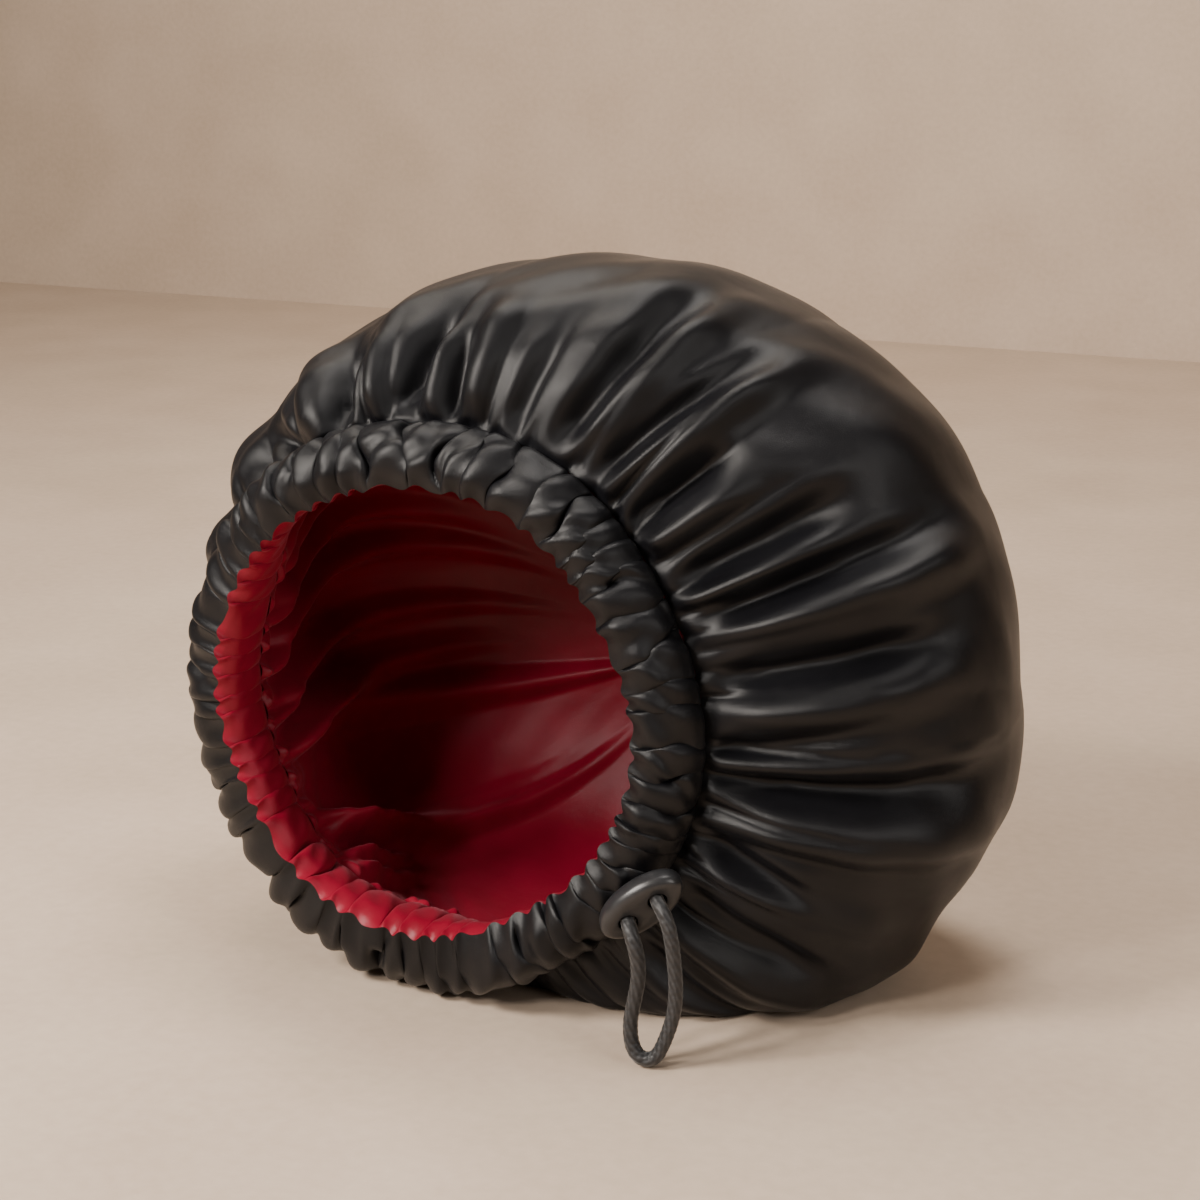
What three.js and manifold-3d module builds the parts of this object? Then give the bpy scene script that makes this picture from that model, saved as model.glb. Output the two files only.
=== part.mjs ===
// A satin sleep bonnet lying on its side: a full gathered crown with a loose lining,
// a ruched elastic band round the face opening, and a drawcord loop with its stopper.
//
// Millimetres, +Z up, and the bonnet rests on z = 0. The face opening looks towards -Y.
// Every place on the cloth is worked out from the middle of the face opening:
//   angle  degrees round the opening, 0 at +X and 90 at +Z
//   radius distance out from the middle
//   depth  distance behind the opening, along +Y

import * as THREE from 'three';
import { mergeVertices } from 'three/addons/utils/BufferGeometryUtils.js';
import Module from 'manifold-3d';

// ---------------------------------------------------------------- driving dimensions

const OPENING = { x: -35.6, y: -91.2, z: 116 };   // middle of the face opening
const BAND_WIDTH = 27;          // edge seam to casing stitch line
const BAND_PLEATS = 52;         // ruched pleats round the band
const PLEAT_DEPTH = 0.16;       // of the plumpness, ridge or valley
const HEM = 0.9;                // folded cloth at the band's two edges
const BAND_FLOOR = 0.3;         // lowest height of the band's roll
const FACING_PLUMP = 3.6;       // how far the red facing's ruffles stand in
const WALL = 1.2;               // one gathered satin layer
const GAP = 0.4;                // kept between neighbouring pieces
const ELASTIC_ROOM = 1.4;       // between the band's two halves, where the flat elastic runs
const BAG_BLEND = 24;           // height over which a bag's cloth turns onto the floor
const BAND_BLEND = 5;           // the same for the band's firm roll
const SEAM_RUN_IN = 0.06;       // share of the first stretch where folds die out into the stitches

// The two cloth bags behind the band. depth is how far back each one's end lies, endShift how
// far that end sits beside the opening's axis, floor the lowest height its cloth reaches.
const SHELL = { reach: 'reach', belly: 'belly', depth: 190, floor: 0, columns: 88, rows: 12 };
const LINING = { reach: 'liningReach', belly: 'liningBelly', depth: 181, floor: 3.2, columns: 60, rows: 10 };
const END_SHIFT = { x: 42, z: -16 };

// Round the opening, one row each 30 degrees:
//   opening  radius of the edge seam         lean   outward tilt of the band, degrees
//   plump    how far the black ruffles bulge
//   reach    the shell's greatest radius     belly  depth of that place
//   liningReach, liningBelly  the same for the lining, which hangs loose inside
const ROUND = [
  { angle: 0, opening: 90, lean: 47, plump: 9, reach: 206, belly: 88, liningReach: 196, liningBelly: 88 },
  { angle: 30, opening: 88, lean: 45, plump: 9, reach: 201, belly: 88, liningReach: 192, liningBelly: 88 },
  { angle: 60, opening: 90, lean: 46, plump: 9, reach: 182, belly: 88, liningReach: 172, liningBelly: 88 },
  { angle: 90, opening: 88, lean: 46, plump: 9, reach: 161, belly: 84, liningReach: 150, liningBelly: 84 },
  { angle: 120, opening: 87, lean: 42, plump: 12, reach: 144, belly: 86, liningReach: 126, liningBelly: 90 },
  { angle: 150, opening: 88, lean: 0, plump: 18, reach: 138, belly: 87, liningReach: 112, liningBelly: 96 },
  { angle: 180, opening: 88, lean: -3, plump: 19, reach: 134, belly: 88, liningReach: 105, liningBelly: 100 },
  { angle: 210, opening: 86, lean: 3, plump: 20, reach: 138, belly: 89, liningReach: 105, liningBelly: 100 },
  { angle: 240, opening: 90, lean: 7, plump: 21, reach: 152, belly: 88, liningReach: 110, liningBelly: 92 },
  { angle: 270, opening: 89, lean: 5, plump: 23, reach: 180, belly: 82, liningReach: 126, liningBelly: 78 },
  { angle: 300, opening: 84, lean: 48, plump: 15, reach: 198, belly: 82, liningReach: 180, liningBelly: 80 },
  { angle: 330, opening: 87, lean: 50, plump: 10, reach: 199, belly: 94, liningReach: 188, liningBelly: 90 },
];

// The main folds that run back from the stitch line. at is a fold's angle there, to its angle
// where it dies out, end how far along the crown that is (1 at the widest, 2 at the crown's
// end), half its half width in degrees, and rise its height: a ridge above 0, a crease below.
const SHELL_FOLDS = [
  { at: 124, to: 134, end: 0.6, half: 8, rise: -9 },
  { at: 110, to: 108, end: 0.7, half: 7, rise: -9 },
  { at: 97, to: 90, end: 0.8, half: 7, rise: -9 },
  { at: 78, to: 80, end: 0.7, half: 8, rise: 5 },
  { at: 64, to: 60, end: 0.9, half: 6, rise: -8 },
  { at: 51, to: 45, end: 0.9, half: 7, rise: 6 },
  { at: 42, to: 43, end: 0.5, half: 6, rise: -6 },
  { at: 30, to: 31, end: 0.7, half: 6, rise: -8 },
  { at: 19, to: 22, end: 1.2, half: 7, rise: 7 },
  { at: 11, to: 12, end: 0.8, half: 6, rise: -8 },
  { at: 2, to: 6, end: 0.9, half: 7, rise: 6 },
  { at: 352, to: 356, end: 1.1, half: 7, rise: -9 },
  { at: 343, to: 346, end: 1.2, half: 7, rise: 6 },
  { at: 331, to: 327, end: 0.9, half: 7, rise: -8 },
  { at: 150, to: 155, end: 0.9, half: 8, rise: -6 },
  { at: 172, to: 170, end: 0.9, half: 8, rise: -6 },
  { at: 195, to: 198, end: 0.9, half: 8, rise: -6 },
  { at: 220, to: 216, end: 0.9, half: 8, rise: -6 },
];

// The lining's folds stand in from it, towards the hollow. swell is the share of a fold's length
// over which it grows to its full height, 0.22 where a row doesn't say.
const LINING_FOLDS = [
  { at: 172, to: 146, end: 1.7, half: 10, swell: 0.45, rise: 8 },
  { at: 186, to: 150, end: 1.8, half: 10, swell: 0.45, rise: 9 },
  { at: 199, to: 172, end: 1.8, half: 10, swell: 0.45, rise: 8 },
  { at: 208, to: 188, end: 1.7, half: 10, swell: 0.45, rise: 10 },
  { at: 217, to: 250, end: 1.8, half: 10, swell: 0.45, rise: 8 },
  { at: 232, to: 244, end: 1.4, half: 9, swell: 0.45, rise: 6 },
  { at: 60, to: 64, end: 1.5, half: 10, swell: 0.45, rise: 6 },
  { at: 20, to: 24, end: 1.6, half: 10, swell: 0.45, rise: 7 },
  { at: 345, to: 342, end: 1.5, half: 10, swell: 0.45, rise: 6 },
];

// The cord stopper, a flat pebble with two holes that lies on the band at the lower right.
const STOPPER = {
  centre: new THREE.Vector3(95.8, -4.5, -56.6),    // from the middle of the opening
  outward: new THREE.Vector3(0.533, -0.766, -0.36),
  along: new THREE.Vector3(0.732, 0.204, 0.65),
  length: 36, width: 20, thickness: 9, edge: 3.4, holeRadius: 3.6, holeSpacing: 14,
};
const TAB = { length: 9, width: 14, thickness: 2, corner: 0.8, overhang: 4 };

// The drawcord's loop, from behind one hole of the stopper, down to the floor and back up
// through the other hole. Points from the middle of the opening.
const CORD_RADIUS = 3.1;
const CORD_SIDES = 10;
const CORD_STEPS = 60;
const CORD_ROUTE = [
  [88.4, -2.5, -59.6], [90.7, -5.9, -61.1], [93.1, -9.4, -62.8], [95.3, -12.0, -65.2],
  [97.2, -13.0, -69.6], [98.3, -12.6, -75.5], [98.4, -12.5, -82.5], [97.2, -12.9, -90.5],
  [96.0, -13.6, -99.0], [96.6, -14.0, -106.5], [99.0, -14.2, -111.2], [102.6, -13.7, -112.6],
  [106.2, -12.8, -110.6], [109.3, -11.8, -103.5], [111.8, -10.9, -94.0], [112.4, -10.5, -85.0],
  [111.8, -10.5, -75.8], [110.8, -10.8, -67.0], [109.2, -10.7, -60.2], [106.4, -9.5, -55.6],
  [103.3, -6.6, -53.6], [100.9, -3.1, -52.0], [98.6, 0.2, -50.5],
];

// ---------------------------------------------------------------- small helpers

const radians = THREE.MathUtils.degToRad;
const smooth = (low, high, value) => THREE.MathUtils.smoothstep(value, low, high);

/** One column of ROUND at any angle, by a smooth curve through its rows. */
function round(column, angle) {
  const count = ROUND.length;
  const step = 360 / count;
  const turn = THREE.MathUtils.euclideanModulo(angle, 360) / step;
  const row = Math.floor(turn) % count;
  const u = turn - Math.floor(turn);
  const [a, b, c, d] = [-1, 0, 1, 2].map((k) => ROUND[(row + k + count) % count][column]);
  return 0.5 * (2 * b + (c - a) * u + (2 * a - 5 * b + 4 * c - d) * u * u + (3 * b - a - 3 * c + d) * u ** 3);
}

/** A point from its angle, radius and depth. */
function place(angle, radius, depth) {
  const a = radians(angle);
  return new THREE.Vector3(
    OPENING.x + radius * Math.cos(a), OPENING.y + depth, OPENING.z + radius * Math.sin(a));
}

/** A cubic Bezier value. */
function bezier(a, b, c, d, t) {
  const s = 1 - t;
  return a * s ** 3 + 3 * b * s * s * t + 3 * c * s * t * t + d * t ** 3;
}

/** Cloth height once the floor carries it: flat well below floor, unchanged well above it, and
 *  turned smoothly within blend of it. */
function rest(height, floor, blend) {
  const over = height - floor;
  const near = Math.max(blend - Math.abs(over), 0) / blend;
  return floor + Math.max(over, 0) + (near * near * blend) / 4;
}

/** Closed skin through rings of points. A ring of one point is a pole; loop joins last to first. */
function skin(rings, loop = false) {
  const positions = [];
  const starts = rings.map((ring) => {
    const start = positions.length / 3;
    ring.forEach((p) => positions.push(p.x, p.y, p.z));
    return start;
  });
  const triangles = [];
  const bands = loop ? rings.length : rings.length - 1;
  for (let r = 0; r < bands; r += 1) {
    const next = (r + 1) % rings.length;
    const count = Math.max(rings[r].length, rings[next].length);
    for (let i = 0; i < count; i += 1) {
      const j = (i + 1) % count;
      const [a, b] = rings[r].length === 1 ? [starts[r], starts[r]] : [starts[r] + i, starts[r] + j];
      const [c, d] = rings[next].length === 1 ? [starts[next], starts[next]] : [starts[next] + i, starts[next] + j];
      if (a !== b) triangles.push(a, c, b);
      if (c !== d) triangles.push(b, c, d);
    }
  }
  const geometry = new THREE.BufferGeometry();
  geometry.setAttribute('position', new THREE.Float32BufferAttribute(positions, 3));
  geometry.setIndex(triangles);
  geometry.computeVertexNormals();
  return geometry;
}

// ---------------------------------------------------------------- the band

/** A point in the band's cross-section: share 0 at the edge seam to 1 at the stitch line, and
 *  out, the distance from the casing's middle layer towards the outside. */
function bandPoint(angle, share, out) {
  const lean = radians(round('lean', angle));
  const along = share * BAND_WIDTH;
  return place(
    angle,
    round('opening', angle) + along * Math.sin(lean) + out * Math.cos(lean),
    along * Math.cos(lean) - out * Math.sin(lean));
}

/** How far a ruffle stands out at a share of the band's width. */
const ruffle = (share) => Math.sqrt(Math.max(0, 1 - (2 * share - 1) ** 2));

/** One ring of points round the band, ridge and valley in turn. */
function bandRing(share, out) {
  const count = BAND_PLEATS * 2;
  return Array.from({ length: count }, (_, i) => {
    const angle = (i * 360) / count;
    const point = bandPoint(angle, share, out(angle, i % 2 ? 1 - PLEAT_DEPTH : 1 + PLEAT_DEPTH));
    point.z = rest(point.z, BAND_FLOOR, BAND_BLEND);
    return point;
  });
}

/** The black outer half of the band, a plump ruched roll. */
function bandCasing() {
  const shares = [0, 0.1, 0.28, 0.5, 0.74, 1];
  const outside = shares.map((share) => bandRing(share,
    (angle, pleat) => ELASTIC_ROOM / 2 + HEM + round('plump', angle) * ruffle(share) * pleat));
  const middle = [1, 0].map((share) => bandRing(share, () => ELASTIC_ROOM / 2));
  return skin([...outside, ...middle], true);
}

/** The red inner half of the band. */
function bandFacing() {
  const middle = [0, 1].map((share) => bandRing(share, () => -ELASTIC_ROOM / 2));
  const inside = [1, 0.74, 0.26, 0].map((share) => bandRing(share,
    (angle, pleat) => -ELASTIC_ROOM / 2 - HEM - FACING_PLUMP * ruffle(share) * pleat));
  return skin([...middle, ...inside], true);
}

// ---------------------------------------------------------------- the crown's two cloth bags

/** A bag's smooth form. t is 0 at the stitch line, 1 where it is widest and 2 at its end. */
function bagPoint(bag, angle, t, side) {
  const lean = radians(round('lean', angle));
  const along = BAND_WIDTH + GAP;
  const out = side > 0 ? GAP / 2 + WALL : -GAP / 2;
  const seamRadius = round('opening', angle) + along * Math.sin(lean) + out * Math.cos(lean);
  const seamDepth = along * Math.cos(lean) - out * Math.sin(lean);
  const reach = round(bag.reach, angle);
  const belly = round(bag.belly, angle);
  // The shell turns out at once, past the band's roll. The lining first runs straight back.
  const [spread, back] = side > 0 ? [0.55, 0.35 * round('plump', angle) - 4] : [0.3, 14];
  if (t <= 1) {
    return place(angle,
      bezier(seamRadius, seamRadius + (reach - seamRadius) * spread, reach, reach, t),
      bezier(seamDepth, seamDepth + back, seamDepth + (belly - seamDepth) * 0.45, belly, t));
  }
  const u = t - 1;
  const point = place(angle,
    bezier(reach, reach, reach * 0.62, 0, u),
    bezier(belly, belly + (bag.depth - belly) * 0.62, bag.depth, bag.depth, u));
  point.x += END_SHIFT.x * u ** 1.5;
  point.z += END_SHIFT.z * u ** 1.5;
  return point;
}

/** How far the folds lift the cloth at a place. */
function foldRise(folds, angle, t) {
  return folds.reduce((sum, fold) => {
    const share = Math.min(t / fold.end, 1);
    const centre = fold.at + (THREE.MathUtils.euclideanModulo(fold.to - fold.at + 180, 360) - 180) * share;
    const off = Math.abs(THREE.MathUtils.euclideanModulo(angle - centre + 180, 360) - 180) / fold.half;
    if (off >= 1 || share >= 1) return sum;
    const lengthwise = smooth(0, fold.swell ?? 0.22, share) * (1 - smooth(0.55, 1, share));
    return sum + fold.rise * lengthwise * 0.5 * (1 + Math.cos(Math.PI * off));
  }, 0);
}

/** Outward unit normal of a bag's smooth form. */
function bagNormal(bag, angle, t, side) {
  const turn = bagPoint(bag, angle + 1, t, side).sub(bagPoint(bag, angle - 1, t, side));
  const back = bagPoint(bag, angle, t + 0.01, side).sub(bagPoint(bag, angle, Math.max(t - 0.01, 0), side));
  return back.cross(turn).normalize();
}

/** A bag's outer points: its form, moved by its folds, then laid on the floor. */
function bagGrid(bag, folds, side) {
  const rings = [];
  for (let row = 0; row < bag.rows; row += 1) {
    const t = 2 * (row / bag.rows) ** 1.1;
    rings.push(Array.from({ length: bag.columns }, (_, i) => {
      const angle = (i * 360) / bag.columns;
      const rise = side * foldRise(folds, angle, t) * smooth(0, SEAM_RUN_IN, t);
      const point = bagPoint(bag, angle, t, side).addScaledVector(bagNormal(bag, angle, t, side), rise);
      point.z = rest(point.z, bag.floor, BAG_BLEND);
      return point;
    }));
  }
  const end = bagPoint(bag, 0, 2, side);
  return { rings, end };
}

/** The same grid moved in by the wall's thickness. */
function innerGrid({ rings, end }) {
  const inner = rings.map((ring, r) => ring.map((point, i) => {
    const count = ring.length;
    const turn = ring[(i + 1) % count].clone().sub(ring[(i - 1 + count) % count]);
    const ahead = r + 1 < rings.length ? rings[r + 1][i] : end;
    const behind = r > 0 ? rings[r - 1][i] : point;
    const normal = ahead.clone().sub(behind).cross(turn).normalize();
    return point.clone().addScaledVector(normal, -WALL);
  }));
  return { rings: inner, end: end.clone().add(new THREE.Vector3(0, -WALL, 0)) };
}

/** A cloth bag as one closed wall, open at the stitch line. */
function bagWall(bag, folds, side) {
  const outer = bagGrid(bag, folds, side);
  const inner = innerGrid(outer);
  return skin([[inner.end], ...inner.rings.reverse(), ...outer.rings, [outer.end]]);
}

// ---------------------------------------------------------------- drawcord, stopper and tab

/** The stopper's own axes as a matrix: X along it, Y across it, Z out of its face. */
function stopperPose() {
  const z = STOPPER.outward.clone().normalize();
  const x = STOPPER.along.clone().addScaledVector(z, -STOPPER.along.dot(z)).normalize();
  const y = z.clone().cross(x);
  const origin = STOPPER.centre.clone().add(new THREE.Vector3(OPENING.x, OPENING.y, OPENING.z));
  return new THREE.Matrix4().makeBasis(x, y, z).setPosition(origin);
}

/** A flat pebble: an oval outline with rounded edges, centred on the origin. */
function pebble(length, width, thickness, edge) {
  const outline = new THREE.Shape();
  outline.absellipse(0, 0, length / 2 - edge, width / 2 - edge, 0, 2 * Math.PI);
  const geometry = new THREE.ExtrudeGeometry(outline, {
    depth: thickness - 2 * edge, curveSegments: 10, bevelThickness: edge, bevelSize: edge, bevelSegments: 4,
  });
  return geometry.translate(0, 0, edge - thickness / 2);
}

const wasm = await Module();
wasm.setup();

/** A three.js geometry as a manifold-3d solid. */
function toSolid(geometry) {
  const bare = geometry.clone();
  bare.deleteAttribute('normal');
  bare.deleteAttribute('uv');
  const merged = mergeVertices(bare, 1e-4);
  return new wasm.Manifold(new wasm.Mesh({
    numProp: 3,
    vertProperties: new Float32Array(merged.attributes.position.array),
    triVerts: new Uint32Array(merged.index.array),
  }));
}

/** A manifold-3d solid as a three.js geometry. */
function toGeometry(solid) {
  const mesh = solid.getMesh();
  const geometry = new THREE.BufferGeometry();
  geometry.setAttribute('position', new THREE.BufferAttribute(mesh.vertProperties, 3));
  geometry.setIndex(new THREE.BufferAttribute(mesh.triVerts, 1));
  return geometry;
}

function cordStopper() {
  const body = toSolid(pebble(STOPPER.length, STOPPER.width, STOPPER.thickness, STOPPER.edge));
  const holes = [-1, 1].map((side) => {
    const drill = new THREE.CylinderGeometry(STOPPER.holeRadius, STOPPER.holeRadius, 2 * STOPPER.thickness, 20);
    drill.rotateX(Math.PI / 2).translate((side * STOPPER.holeSpacing) / 2, 0, 0);
    return toSolid(drill);
  });
  return toGeometry(holes.reduce((solid, hole) => solid.subtract(hole), body)).applyMatrix4(stopperPose());
}

/** The small plate behind the stopper, between the two strands, that shows below its rim. */
function stopperTab() {
  const { length, width, thickness, corner, overhang } = TAB;
  const x = length / 2 - corner;
  const low = -STOPPER.width / 2 - overhang + corner;
  const high = low + width - 2 * corner;
  const outline = new THREE.Shape();
  outline.moveTo(-x, low).lineTo(x, low).lineTo(x, high).lineTo(-x, high).closePath();
  const plate = new THREE.ExtrudeGeometry(outline, {
    depth: thickness - 2 * corner, bevelThickness: corner, bevelSize: corner, bevelSegments: 2,
  });
  plate.translate(0, 0, corner - thickness - GAP - STOPPER.thickness / 2);
  return plate.applyMatrix4(stopperPose());
}

function cordLoop() {
  const route = CORD_ROUTE.map(([x, y, z]) => new THREE.Vector3(OPENING.x + x, OPENING.y + y, OPENING.z + z));
  const section = new THREE.Shape(Array.from({ length: CORD_SIDES }, (_, i) => {
    const a = (i / CORD_SIDES) * 2 * Math.PI;
    return new THREE.Vector2(CORD_RADIUS * Math.cos(a), CORD_RADIUS * Math.sin(a));
  }));
  return new THREE.ExtrudeGeometry(section, {
    extrudePath: new THREE.CatmullRomCurve3(route), steps: CORD_STEPS, bevelEnabled: false,
  });
}

// ---------------------------------------------------------------- the object

const BLACK_SATIN = { color: 0x0b0b0d, roughness: 0.38, metalness: 0 };
const RED_SATIN = { color: 0x7d0a1c, roughness: 0.36, metalness: 0 };
const CHARCOAL_PLASTIC = { color: 0x1d1e20, roughness: 0.35, metalness: 0 };
const BLACK_BRAID = { color: 0x0a0a0b, roughness: 0.6, metalness: 0 };

const group = new THREE.Group();

function add(name, geometry, finish) {
  const mesh = new THREE.Mesh(geometry, new THREE.MeshStandardMaterial(finish));
  mesh.name = name;
  group.add(mesh);
}

add('crown_shell', bagWall(SHELL, SHELL_FOLDS, 1), BLACK_SATIN);
add('crown_lining', bagWall(LINING, LINING_FOLDS, -1), RED_SATIN);
add('band_casing', bandCasing(), BLACK_SATIN);
add('band_facing', bandFacing(), RED_SATIN);
add('cord_stopper', cordStopper(), CHARCOAL_PLASTIC);
add('stopper_tab', stopperTab(), CHARCOAL_PLASTIC);
add('cord_loop', cordLoop(), BLACK_BRAID);

export default group;
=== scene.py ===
"""A satin sleep bonnet lying on its side.

It has a gathered crown, a loose lining, a ruched face band, a drawcord and a stopper.

The cloth is worked out in millimetres from the middle of the face opening, as in the part's source:
angle in degrees round the opening (0 at +X, 90 at +Z), radius out from it and depth behind it.
Meshes are made in metres in the row frame.
"""

from __future__ import annotations

import logging
import math
from collections.abc import Callable, Sequence
from dataclasses import dataclass, field
from enum import Enum

import bpy
import numpy as np
from mathutils import Matrix, Vector

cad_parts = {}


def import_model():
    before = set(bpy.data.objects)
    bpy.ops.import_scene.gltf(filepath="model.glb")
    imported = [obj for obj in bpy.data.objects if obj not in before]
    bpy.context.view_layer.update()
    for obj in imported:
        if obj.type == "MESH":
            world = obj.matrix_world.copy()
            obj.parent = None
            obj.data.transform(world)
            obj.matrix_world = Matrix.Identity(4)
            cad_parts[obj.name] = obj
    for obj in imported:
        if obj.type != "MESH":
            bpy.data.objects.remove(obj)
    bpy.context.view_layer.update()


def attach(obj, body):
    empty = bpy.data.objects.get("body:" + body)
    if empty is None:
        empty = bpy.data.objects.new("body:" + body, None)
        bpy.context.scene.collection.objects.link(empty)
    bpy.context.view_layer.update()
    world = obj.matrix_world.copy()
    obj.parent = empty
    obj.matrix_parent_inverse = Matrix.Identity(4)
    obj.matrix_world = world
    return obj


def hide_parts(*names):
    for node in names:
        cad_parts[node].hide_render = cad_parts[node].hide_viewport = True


LOG = logging.getLogger("bonnet")
MM = 0.001
FULL_TURN = 360.0


# ---------------------------------------------------------------- the cloth's form


@dataclass(frozen=True)
class Station:
    """Sizes at one angle round the opening, in millimetres and degrees."""

    angle: float
    opening: float
    lean: float
    plump: float
    reach: float
    belly: float
    lining_reach: float
    lining_belly: float


STATIONS = (
    Station(0, 90, 47, 9, 206, 88, 196, 88),
    Station(30, 88, 45, 9, 201, 88, 192, 88),
    Station(60, 90, 46, 9, 182, 88, 172, 88),
    Station(90, 88, 46, 9, 161, 84, 150, 84),
    Station(120, 87, 42, 12, 144, 86, 126, 90),
    Station(150, 88, 0, 18, 138, 87, 112, 96),
    Station(180, 88, -3, 19, 134, 88, 105, 100),
    Station(210, 86, 3, 20, 138, 89, 105, 100),
    Station(240, 90, 7, 21, 152, 88, 110, 92),
    Station(270, 89, 5, 23, 180, 82, 126, 78),
    Station(300, 84, 48, 15, 198, 82, 180, 80),
    Station(330, 87, 50, 10, 199, 94, 188, 90),
)


@dataclass(frozen=True)
class Fold:
    """One long fold: angle at the stitch line, angle where it dies out, its end, half width and height."""

    at: float
    to: float
    end: float
    half: float
    rise: float
    swell: float = 0.2


@dataclass(frozen=True)
class Bag:
    """One of the crown's two cloth bags, and how it leaves the stitch line."""

    reach: str
    belly: str
    depth: float
    floor: float
    side: int
    start_out: float
    spread: float


@dataclass(frozen=True)
class BonnetForm:
    """The smooth form that every cloth piece is laid on."""

    centre: tuple[float, float, float] = (-35.6, -91.2, 116.0)
    band_width: float = 27.0
    seam_gap: float = 0.4
    pleats: int = 54
    end_shift: tuple[float, float] = (42.0, -16.0)
    bag_blend: float = 24.0
    shell: Bag = Bag("reach", "belly", 190.0, 0.0, 1, 1.4, 0.55)
    lining: Bag = Bag("lining_reach", "lining_belly", 181.0, 3.2, -1, -0.2, 0.3)

    def pleat_phase(self, angle: np.ndarray) -> np.ndarray:
        """Phase of the elastic's pleats in radians, unevenly spaced round the opening."""
        loose = wander(angle, ((2, 2.6, 0.4), (5, 1.8, 2.0), (11, 1.2, 4.1), (23, 0.7, 1.3), (37, 0.35, 0.2)))
        return np.radians((angle + loose) * self.pleats)

    def column(self, name: str, angle: np.ndarray) -> np.ndarray:
        """A column of the stations at any angles, by a smooth curve through its rows.

        Args:
            name: the station's field.
            angle: degrees.

        Returns:
            The column's values.
        """
        rows = np.array([getattr(s, name) for s in STATIONS], float)
        turn = np.mod(angle, FULL_TURN) / (FULL_TURN / len(rows))
        row = np.floor(turn).astype(int) % len(rows)
        u = turn - np.floor(turn)
        a, b, c, d = (rows[(row + k) % len(rows)] for k in (-1, 0, 1, 2))
        return through_rows(a, b, c, d, u)

    def place(self, angle: np.ndarray, radius: np.ndarray, depth: np.ndarray) -> np.ndarray:
        """Points from angles, radii and depths."""
        a = np.radians(angle)
        x, y, z = self.centre
        return np.stack([x + radius * np.cos(a), y + depth, z + radius * np.sin(a)], -1)

    def band_point(self, angle: np.ndarray, share: np.ndarray, out: np.ndarray) -> np.ndarray:
        """Points in the band's section: share 0 at the edge to 1 at the stitches, and out from its middle."""
        lean = np.radians(self.column("lean", angle))
        along = share * self.band_width
        radius = self.column("opening", angle) + along * np.sin(lean) + out * np.cos(lean)
        return self.place(angle, radius, along * np.cos(lean) - out * np.sin(lean))

    def bag_point(self, bag: Bag, angle: np.ndarray, t: np.ndarray) -> np.ndarray:
        """Points on a bag's smooth form: t is 0 at the stitches, 1 at the widest and 2 at the end.

        Args:
            bag: the shell or the lining.
            angle: degrees.
            t: place along the bag.

        Returns:
            The points, before the floor flattens them.
        """
        lean = np.radians(self.column("lean", angle))
        along = self.band_width + self.seam_gap
        start_r = self.column("opening", angle) + along * np.sin(lean) + bag.start_out * np.cos(lean)
        start_d = along * np.cos(lean) - bag.start_out * np.sin(lean)
        reach, belly = self.column(bag.reach, angle), self.column(bag.belly, angle)
        back = 0.35 * self.column("plump", angle) - 4 if bag.side > 0 else 14.0
        front = np.clip(t, 0, 1)
        rear = np.clip(t - 1, 0, 1)
        radius = np.where(
            t <= 1,
            bezier(start_r, start_r + (reach - start_r) * bag.spread, reach, reach, front),
            bezier(reach, reach, reach * 0.62, 0 * reach, rear),
        )
        depth = np.where(
            t <= 1,
            bezier(start_d, start_d + back, start_d + (belly - start_d) * 0.45, belly, front),
            bezier(belly, belly + (bag.depth - belly) * 0.62, bag.depth, bag.depth, rear),
        )
        point = self.place(angle, radius, depth)
        point[..., 0] += self.end_shift[0] * rear**1.5
        point[..., 2] += self.end_shift[1] * rear**1.5
        return point

    def bag_normal(self, bag: Bag, angle: np.ndarray, t: np.ndarray) -> np.ndarray:
        """Unit normals of a bag's smooth form, pointing out of the bonnet."""
        turn = self.bag_point(bag, angle + 1, t) - self.bag_point(bag, angle - 1, t)
        low = np.maximum(t - 0.01, 0)
        back = self.bag_point(bag, angle, np.minimum(low + 0.02, 1.999)) - self.bag_point(bag, angle, low)
        normal = np.cross(back, turn)
        return normal / np.maximum(np.linalg.norm(normal, axis=-1, keepdims=True), 1e-9)


def through_rows(a: np.ndarray, b: np.ndarray, c: np.ndarray, d: np.ndarray, u: np.ndarray) -> np.ndarray:
    """A smooth curve from b to c as u goes from 0 to 1, with a and d the rows on either side."""
    bend = (2 * a - 5 * b + 4 * c - d) * u**2 + (3 * b - a - 3 * c + d) * u**3
    return 0.5 * (2 * b + (c - a) * u + bend)


def bezier(a: np.ndarray, b: np.ndarray, c: np.ndarray, d: np.ndarray, t: np.ndarray) -> np.ndarray:
    """Cubic Bezier values."""
    s = 1 - t
    return a * s**3 + 3 * b * s * s * t + 3 * c * s * t * t + d * t**3


def smooth(low: float, high: float, value: np.ndarray) -> np.ndarray:
    """0 below low, 1 above high, and an even turn between."""
    u = np.clip((value - low) / (high - low), 0, 1)
    return u * u * (3 - 2 * u)


def rest(height: np.ndarray, floor: float, blend: float) -> np.ndarray:
    """Cloth height once the floor carries it."""
    over = height - floor
    near = np.maximum(blend - np.abs(over), 0) / blend
    return floor + np.maximum(over, 0) + near**2 * blend / 4


def wander(angle: np.ndarray, turns: Sequence[tuple[int, float, float]]) -> np.ndarray:
    """A gentle sum of sines round the opening: rows of count, height and phase."""
    a = np.radians(angle)
    return sum(height * np.sin(count * a + phase) for count, height, phase in turns)


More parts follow.
